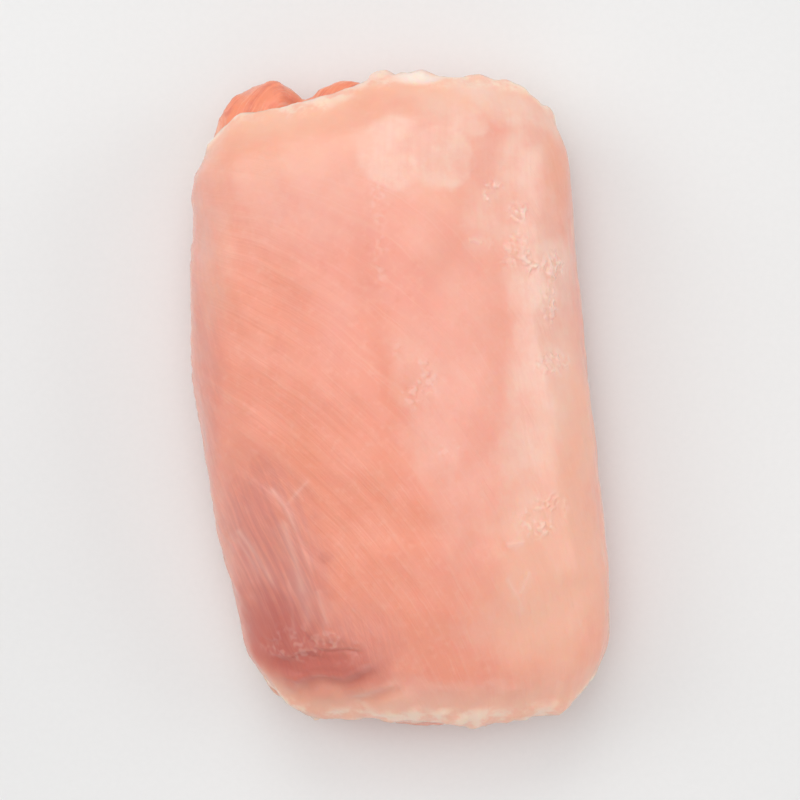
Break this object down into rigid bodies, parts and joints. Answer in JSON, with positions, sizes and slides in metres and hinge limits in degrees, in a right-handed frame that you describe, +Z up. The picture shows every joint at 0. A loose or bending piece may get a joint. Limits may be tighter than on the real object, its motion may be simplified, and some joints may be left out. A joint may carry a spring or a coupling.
{
  "type": "raw chicken thigh",
  "caption": "Raw boneless and skinless chicken thigh, folded into a plump rounded bundle with a smooth upper face, a wandering seam underneath and meat and fat showing at both ends.",
  "frame": {"origin": "middle of the bundle's box in plan, on the surface that it rests on", "axes": "+Z up, +Y along the fold towards the end with the two darker lobes, +X to the right when seen from above"},
  "size_m": [0.0722, 0.1122, 0.0318],
  "materials": {
    "meat": "moist raw meat, pale salmon pink with an orange tinge, a thin silvery membrane and creamy fat at the edges"
  },
  "bodies": {
    "root": {"chicken_thigh": "meat"}
  },
  "joints": []
}
